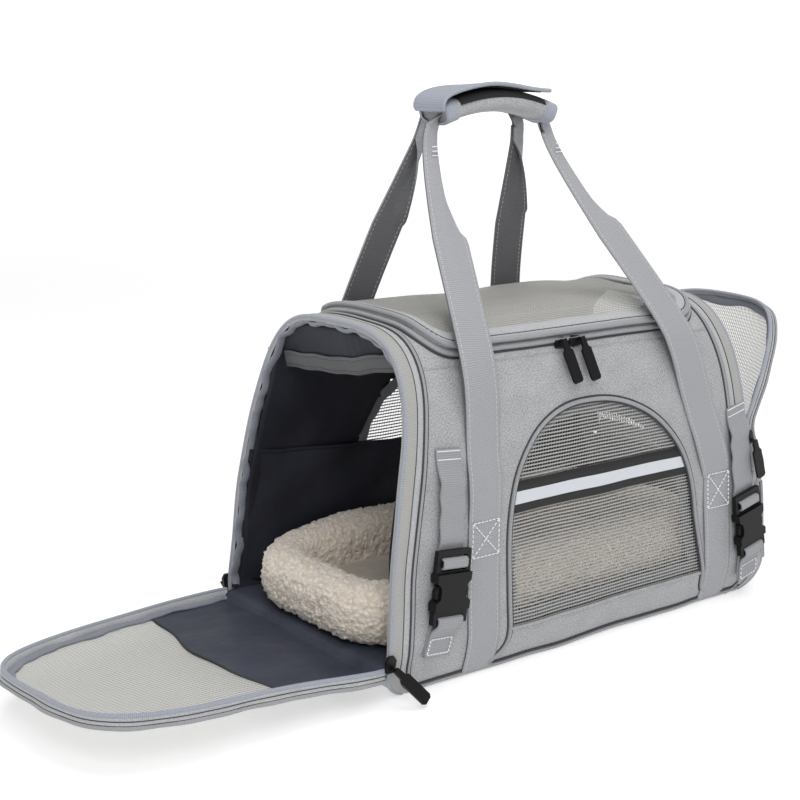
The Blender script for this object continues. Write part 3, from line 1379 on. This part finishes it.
def loop(name, side, nodes, run_rows):
    """One webbing loop from floor to floor by way of the grip; gives back its rows."""
    front, rear = leg(side, True), leg(side, False)
    rows = front + run_rows + rear[::-1]
    keep = [rows[0]]
    for row in rows[1:]:
        if np.linalg.norm(row[0] - keep[-1][0]) > 0.0012:
            keep.append(row)
    grid, w = strap_grid(keep, WEB_WIDTH)
    u = lengths(np.array([r[0] for r in keep]))
    uv = uv_grid(u, w)
    obj = grid_object(name, grid, WEBBING, thick=WEB_THICK, offset=0.0, uv=uv)
    obj.data.materials.append(WEBBING_BACK)
    obj.data.materials.append(WEBBING)
    row_of = np.arange(len(obj.data.polygons)) // (grid.shape[1] - 1)
    first_half = row_of < grid.shape[0] // 2
    obj.data.polygons.foreach_set("material_index", (first_half == (side < 0)).astype(int))
    obj.modifiers["cloth"].material_offset = 1
    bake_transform(obj)
    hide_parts(*nodes)
    return keep


near_run = []
for x in np.linspace(GRIP_FRONT + 0.010, GRIP_REAR - 0.010, 24):
    near_run.append((np.array([x, 0.0, float(grip_height(x))]), np.array([0.3, 1.0, 0]),
                     np.array([0, 0, 1.0]), 1.0))
far_run = []
for x in np.linspace(GRIP_FRONT + 0.020, GRIP_REAR - 0.020, 22):
    far_run.append((np.array([x, 0.0200, float(grip_height(x)) - 0.002]), np.array([0.3, 1.0, 0.4]),
                    np.array([0, 0.0, 1.0]), 1.0))
near_rows = loop("webbing_near", -1,
                 ("strap_near_front", "strap_near_rear", "handle_near"), near_run)
far_rows = loop("webbing_far", 1,
                ("strap_far_front", "strap_far_rear", "handle_far"), far_run)


def bar_tacks(name, rows, body, height=0.398):
    """White thread across both folded legs of a loop."""
    lines, ups = [], []
    for pool in (rows[:len(rows) // 2], rows[len(rows) // 2:]):
        spot, across, facing = min(pool, key=lambda r: abs(r[0][2] - height))[:3]
        facing = unit(facing)
        across = across - facing * across.dot(facing)
        across = unit(across)
        for shift in (-0.0035, 0.0, 0.0035):
            centre = spot + np.array([0, 0, shift]) + facing * 0.0034
            lines.append(np.array([centre - across * 0.0045, centre + across * 0.0045]))
            ups.append(facing)
    return ride(stitches(name, lines, ups, THREAD, pitch=0.0022, fill=0.9), body)


bar_tacks("bar_tacks_near", near_rows, "near_handle")
bar_tacks("bar_tacks_far", far_rows, "far_handle")


def sewn_boxes():
    """Box and cross stitches where each loop is sewn to the wall."""
    for side, label in SIDES:
        lines, ups = [], []
        for front in (True, False):
            low, high = FRONT_BOX if front else REAR_BOX
            half = 0.5 * WEB_WIDTH - 0.0028

            def spot(u, t):
                z = low + (high - low) * t
                return wall(strap_x(z, front) + u * half, s_at(z, side), 0.0033)

            corners = ((-1, 0), (1, 0), (1, 1), (-1, 1))
            for (u0, t0), (u1, t1) in list(zip(corners, corners[1:] + corners[:1])) + [
                    ((-1, 0), (1, 1)), ((-1, 1), (1, 0))]:
                k = np.linspace(0, 1, 10)
                line = np.array([spot(u0 + (u1 - u0) * a, t0 + (t1 - t0) * a) for a in k])
                lines.append(line)
                ups.append(np.array([0.0, float(side), 0.1]))
        ride(stitches(f"box_stitches_{label}", lines, ups, THREAD), "shell")


sewn_boxes()


# ---------------------------------------------------------------- grip

def grip_grid(x0, x1, half_y, half_z, count, sides=28, lift=0.0, puff=0.0):
    """A padded sleeve along the arch of the grip."""
    rows = []
    for t in np.linspace(0, 1, count):
        x = x0 + (x1 - x0) * t
        slope = -2.0 * GRIP_DROP * (x - GRIP_MIDDLE)
        heading = np.array([1.0, 0, slope]) / math.hypot(1.0, slope)
        up = np.array([-heading[2], 0, heading[0]])
        angle = np.arange(sides) * 2 * math.pi / sides
        c, s = np.cos(angle), np.sin(angle)
        swell = 1.0 + puff * math.sin(math.pi * t) + 0.02 * np.sin(3 * angle + 40 * x)
        y = np.sign(c) * np.abs(c) ** 0.62 * half_y * swell
        z = np.sign(s) * np.abs(s) ** 0.75 * half_z * swell + lift
        centre = np.array([x, 0.0, float(grip_height(x))])
        rows.append(centre + y[:, None] * np.array([0, 1.0, 0]) + z[:, None] * up)
    return np.array(rows)


caps = [grip_grid(x, x + 0.0001, 0.0165 * part, 0.0082 * part, 1)
        for x, part in ((GRIP_FRONT + 0.0040, 0.05), (GRIP_FRONT + 0.0020, 0.7),
                        (GRIP_REAR - 0.0020, 0.7), (GRIP_REAR - 0.0040, 0.05))]
pad = grip_grid(GRIP_FRONT + 0.001, GRIP_REAR - 0.001, 0.0165, 0.0082, 60, puff=0.05)
pad = np.concatenate(caps[:2] + [pad] + caps[2:])
piece = grid_object("grip_sleeve", pad, HEATHER, closed_v=True)
ride(piece, "near_handle", "grip_pad", slot="heather")
for name, x0 in (("front", GRIP_FRONT - 0.0005), ("rear", GRIP_REAR - 0.0105)):
    band = grip_grid(x0, x0 + 0.011, 0.0177, 0.0093, 8)
    closed = np.concatenate([grip_grid(x0, x0 + 0.0001, 0.0150, 0.0070, 1), band,
                             grip_grid(x0 + 0.011, x0 + 0.0111, 0.0150, 0.0070, 1)])
    ride(grid_object(f"grip_binding_{name}", closed, BINDING, closed_v=True), "near_handle")
angle = np.radians(np.linspace(60, 164, 14))
strip_y = np.sign(np.cos(angle)) * np.abs(np.cos(angle)) ** 0.62 * 0.0176
strip_z = np.abs(np.sin(angle)) ** 0.75 * 0.0091
grid = np.array([[(x, y, float(grip_height(x)) + z) for y, z in zip(strip_y, strip_z)]
                 for x in np.linspace(GRIP_FRONT + 0.013, GRIP_REAR - 0.012, 40)])
ride(grid_object("grip_hook_strip", grid, VELCRO, thick=0.0010, offset=0.0), "near_handle")


FLAP_PATH = ((GRIP_FRONT - 0.0050, 0.4312), (GRIP_FRONT - 0.0058, 0.4350),
             (GRIP_FRONT - 0.0040, 0.4400), (GRIP_FRONT + 0.0040, 0.4440),
             (GRIP_FRONT + 0.0200, 0.4472), (GRIP_MIDDLE - 0.012, 0.4500),
             (GRIP_MIDDLE + 0.014, 0.4495), (GRIP_REAR - 0.0300, 0.4478),
             (GRIP_REAR - 0.0080, 0.4452))


def soft_line(points, count, rounds=3):
    """A line through hand-set points with its corners cut smooth."""
    line = np.asarray(points, float)
    for _ in range(rounds):
        ahead = line[:-1] * 0.75 + line[1:] * 0.25
        behind = line[:-1] * 0.25 + line[1:] * 0.75
        middle = np.stack([ahead, behind], 1).reshape(-1, line.shape[1])
        line = np.vstack([line[:1], middle, line[-1:]])
    return resample(line, lengths(line)[-1] / (count - 1))


flap_line = soft_line(FLAP_PATH, 60)
y = np.linspace(-0.0172, 0.0172, 16)
grid = np.array([[(a, b, c + 0.060 * (0.017 - b) + 0.0009 * math.sin(70 * a + 60 * b))
                  for b in y] for a, c in flap_line])
flap = grid_object("grip_flap_cloth", grid, BINDING, thick=0.0022, offset=0.0)
ride(flap, "grip_flap_body", "grip_flap", slot="heather")
edge = np.concatenate([grid[:, 0], grid[-1, 1:], grid[-2::-1, -1], grid[0, -2:0:-1]])
flap_edge = tube("grip_flap_edge", resample(edge, 0.003, closed=True), 0.0017, BINDING, closed=True)
ride(flap_edge, "grip_flap_body")
grid = grid[3:-3, 2:-2].copy()
grid[..., 2] -= 0.0018
loop_strip = grid_object("grip_flap_loop_strip", grid, VELCRO, thick=0.0008, offset=0.0)
ride(loop_strip, "grip_flap_body")


# ---------------------------------------------------------------- bed

def bolster():
    """Fleece ring with curls pushed out of its surface."""
    middle = rounded(BED_SOFT_FRONT + 0.5 * BED_SOFT, BED_REAR - 0.5 * BED_SOFT,
                     -BED_HALF + 0.5 * BED_SOFT, BED_HALF - 0.5 * BED_SOFT, 0.034, steps=14)
    middle = resample(middle, 0.0021, closed=True)
    run = frames(np.c_[middle, np.zeros(len(middle))], True)[0]
    side = np.stack([run[:, 1], -run[:, 0]], -1)
    count = 84
    angle = np.arange(count) * 2 * math.pi / count
    c, s = np.cos(angle), np.sin(angle)
    half = 0.5 * BED_SOFT - 0.0030
    across = np.sign(c) * np.abs(c) ** np.where(s < 0, 0.55, 0.85) * half
    along = np.arange(len(middle)) * 0.0021
    grid = np.zeros((len(middle), count, 3))
    for i in range(len(middle)):
        lump = 1.0 + 0.04 * math.sin(along[i] * 19) + 0.03 * math.sin(along[i] * 43 + 1)
        grid[i, :, :2] = middle[i] + side[i] * (across * lump)[:, None]
        high = BOLSTER_LOW_TOP + (BOLSTER_TOP - BOLSTER_LOW_TOP) * float(
            smooth((middle[i][0] + 0.200) / 0.10)) + 0.0015 * math.sin(along[i] * 27 + 2)
        tall = 0.5 * (high - BED_Z) - 0.0020
        grid[i, :, 2] = np.sign(s) * np.abs(s) ** 0.85 * tall + 0.5 * (high + BED_Z)
    normal = np.zeros_like(grid)
    normal[..., :2] = side[:, None] * (c / half)[None, :, None]
    normal[..., 2] = (s / tall)[None]
    normal = unit_rows(normal)
    push = np.zeros(grid.shape[:2])
    for i in range(grid.shape[0]):
        for j in range(count):
            p = Vector(grid[i, j])
            near = noise.voronoi(p * 210.0)[0][0]
            push[i, j] = 0.0036 * (0.60 - near) + 0.0018 * noise.noise(p * 460.0)
    grid += normal * push[..., None]
    grid[..., 2] = np.maximum(grid[..., 2], BED_Z)
    grid[..., 1] = np.clip(grid[..., 1], -0.0975, 0.0975)
    return grid


obj = grid_object("bed_bolster_fleece", bolster(), FLEECE, closed_u=True, closed_v=True)
ride(obj, "bed", "bed_bolster", slot="fleece")
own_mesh(obj)
pad = rounded(BED_SOFT_FRONT + BED_SOFT - 0.010, BED_REAR - BED_SOFT + 0.010, -0.056, 0.056, 0.030)
rows = []
for scale in np.linspace(0.001, 1.0, 26):
    ring = pad * scale + np.array([[(1 - scale) * -0.014, 0.0]])
    height = 0.0500 + 0.0032 * (1 - scale ** 2) + 0.0011 * np.sin(
        ring[:, 0] * 60 + ring[:, 1] * 45) * (1 - scale)
    rows.append(np.c_[ring, height - 0.006 * smooth((scale - 0.86) / 0.14)])
rows.append(np.c_[pad, np.full(len(pad), BED_Z + 0.001)])
obj = grid_object("bed_pad_suede", np.array(rows), SUEDE, closed_v=True)
ride(obj, "bed", "bed_pad", slot="suede")


# ---------------------------------------------------------------- buckle straps

# Foot, head and strap end in (x, z), then the strap's sideways slip and the lift off the wall.
FRONT_COLUMN = ((-0.1640, 0.0560), (-0.1590, 0.1120), (-0.1700, 0.1905), -0.0140, 0.0)
REAR_COLUMN = ((0.1980, 0.0450), (0.1860, 0.1000), (0.1725, 0.1830), -0.0010, 0.0013)
LOWER_SKEW = 0.22


def plain_wall(z, side, lift):
    """A point on the even section and its outward direction."""
    y, h, ny, nz = (float(a) for a in section(s_at(z, side)))
    return np.array([0.0, y + ny * lift, h + nz * lift]), np.array([0.0, ny, nz])


def buckle_axes(side, low, high, lift):
    """Foot of a buckle column with its across, up and outward directions."""
    foot, normal = plain_wall(low[1], side, lift)
    head = plain_wall(high[1], side, lift)[0]
    foot[0], head[0] = low[0], high[0]
    up = unit(head - foot)
    out = normal - up * normal.dot(up)
    out = unit(out)
    return foot, np.cross(up, out), up, out


def narrow_strap(name, side, column, path, slip, rise, nodes):
    """A 24 mm strap along (v, n) pairs of its buckle."""
    foot, across, up, out = buckle_axes(side, column[0], column[1], column[4])
    fine = resample(np.array(path), 0.0016)
    spots = []
    for v, n in fine:
        shift = slip * max(v - 0.060, 0.0) / max(rise - 0.060, 0.001)
        point = foot + across * (shift + LOWER_SKEW * side * max(-v, 0.0)) + up * v
        if v < -0.005 or v > 0.060:
            surface = wall(point[0], s_at(point[2], side), 0.0)
            n = n + max(float((surface - point).dot(out)), 0.0)
        spots.append(point + out * n)
    spots = np.array(spots)
    w = np.linspace(-NARROW_HALF, NARROW_HALF, 9)
    grid = spots[:, None] + across[None, None] * w[None, :, None]
    uv = uv_grid(lengths(spots), w)
    obj = grid_object(name, grid, WEBBING_NARROW, thick=0.0013, offset=0.0, uv=uv)
    ride(obj, "shell", *nodes, slot="webbing")
    return spots, across, out


for side, label in SIDES:
    for column, place in ((FRONT_COLUMN, "front"), (REAR_COLUMN, "rear")):
        rise = math.hypot(column[2][1] - column[0][1], column[2][0] - column[0][0])
        slip = -side * column[3]
        tag = f"{label}_{place}"
        path = [(rise, 0.0014), (rise - 0.008, 0.0014), (rise - 0.016, 0.0030),
                (rise - 0.025, 0.0066), (rise - 0.035, 0.0044), (rise - 0.046, 0.0062),
                (rise - 0.056, 0.0042),
                (0.0660, 0.0050), (0.0610, 0.0040), (0.0560, 0.0026), (0.0524, 0.0022),
                (0.0508, 0.0036), (0.0507, 0.0096), (0.0496, 0.0110), (0.0444, 0.0110),
                (0.0433, 0.0096), (0.0432, 0.0036)]
        spots, across, out = narrow_strap(f"buckle_strap_upper_{tag}", side, column, path, slip,
                                          rise, (f"buckle_{tag}_upper_strap",))
        lines, ups = [], []
        for inset in (0.0030, 0.0095):
            k = int(inset / 0.0016)
            centre = spots[k] + out * 0.0010
            lines.append(np.array([centre - across * 0.0112, centre + across * 0.0112]))
            ups.append(out)
        ride(stitches(f"buckle_tack_upper_{tag}", lines, ups, THREAD, pitch=0.0026, fill=0.86),
             "shell")
        path = [(-0.0262, 0.0034), (-0.0120, 0.0036), (-0.0060, 0.0052), (-0.0030, 0.0086),
                (-0.0010, 0.0104), (0.0036, 0.0106), (0.0050, 0.0092), (0.0050, 0.0044),
                (0.0036, 0.0030), (0.0000, 0.0022), (-0.0060, 0.0016), (-0.0262, 0.0014)]
        spots, across, out = narrow_strap(f"buckle_strap_lower_{tag}", side, column, path, 0.0, 1.0,
                                          (f"buckle_{tag}_lower_strap",))
        foot = spots[0] + out * 0.0012
        upward = (spots[7] - spots[0])
        upward = unit(upward)
        a, b, half = foot + upward * 0.0020, foot + upward * 0.0140, across * 0.0105
        lines = [np.array(ends) for ends in ((a - half, a + half), (b - half, b + half),
                                             (a - half, b - half), (a + half, b + half))]
        ride(stitches(f"buckle_tack_lower_{tag}", lines, [out] * 4, THREAD, pitch=0.0030), "shell")


# ---------------------------------------------------------------- hard parts keep their solids

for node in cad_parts.values():
    if node.hide_render:
        continue
    node.data.materials.clear()
    node.data.materials.append(PLASTIC)
    bevel = node.modifiers.new("edge", "BEVEL")
    bevel.width = 0.0005
    bevel.segments = 2
    bevel.limit_method = "ANGLE"
    bevel.angle_limit = math.radians(35)


# ---------------------------------------------------------------- stage, light and camera

def area_light(name, place, target, width, power):
    """A square softbox aimed at a point."""
    data = bpy.data.lights.new(name, "AREA")
    data.shape = "SQUARE"
    data.size = width
    data.energy = power
    lamp = bpy.data.objects.new(name, data)
    bpy.context.scene.collection.objects.link(lamp)
    lamp.location = place
    heading = Vector(target) - Vector(place)
    lamp.rotation_euler = heading.to_track_quat("-Z", "Y").to_euler()


def make_floor_paper():
    """Pale paper that brightens to white away from the bag."""
    sh = Shader("floor_paper", (0.62, 0.62, 0.62), 0.9, Emission_Color=(1.0, 1.0, 1.0, 1.0))
    away = sh.node("ShaderNodeVectorMath", operation="LENGTH")
    sh.link(sh.place(), away.inputs[0])
    fade = sh.node("ShaderNodeMapRange", interpolation_type="SMOOTHSTEP")
    for socket, value in (("From Min", 1.2), ("From Max", 5.0), ("To Min", 0.50), ("To Max", 0.90)):
        fade.inputs[socket].default_value = value
    sh.link(away.outputs["Value"], fade.inputs["Value"])
    sh.link(fade.outputs["Result"], sh.base.inputs["Emission Strength"])
    return sh.mat


paper = make_floor_paper()
floor = mesh_object("floor", [(-30, -30, -0.0002), (30, -30, -0.0002), (30, 30, -0.0002),
                              (-30, 30, -0.0002)], [(0, 1, 2, 3)], paper)
turn = np.linspace(0, 2 * math.pi, 64, endpoint=False)
ring = np.stack([28 * np.cos(turn), 28 * np.sin(turn)], -1)
backdrop = grid_object("backdrop", np.array([np.c_[ring, np.full(64, z)] for z in (-1.0, 4.0)]),
                       plain("backdrop_paper", (0.0, 0.0, 0.0), 1.0,
                             Emission_Color=(1.0, 1.0, 1.0, 1.0), Emission_Strength=1.0),
                       closed_v=True)
world = bpy.data.worlds.new("studio")
world.use_nodes = True
world.node_tree.nodes["Background"].inputs[0].default_value = (1.0, 1.0, 1.0, 1.0)
world.node_tree.nodes["Background"].inputs[1].default_value = 0.42
bpy.context.scene.world = world
area_light("key", (-1.3, -1.6, 1.9), (0, 0, 0.15), 1.2, 27.0)
area_light("top", (0.1, -0.3, 2.4), (0, 0, 0.1), 1.8, 26.0)
area_light("rear", (1.6, 1.4, 1.6), (0, 0, 0.2), 1.8, 5.0)

EYE = Vector((-0.8851, -0.9245, 0.4789))
AIM = Vector((-0.0712, 0.0617, 0.1827))
ROLL = 0.0267
LENS = 68.6
camera = bpy.data.objects.new("camera", bpy.data.cameras.new("camera"))
bpy.context.scene.collection.objects.link(camera)
ahead = (AIM - EYE).normalized()
right = ahead.cross(Vector((0, 0, 1))).normalized()
above = right.cross(ahead)
rolled = right * math.cos(ROLL) + above * math.sin(ROLL)
above = above * math.cos(ROLL) - right * math.sin(ROLL)
pose = Matrix((rolled, above, -ahead)).transposed().to_4x4()
pose.translation = EYE
camera.matrix_world = pose
camera.data.sensor_width = 36.0
camera.data.lens = LENS
camera.data.clip_start = 0.02
bpy.context.scene.camera = camera
bpy.context.scene.view_settings.view_transform = "Standard"
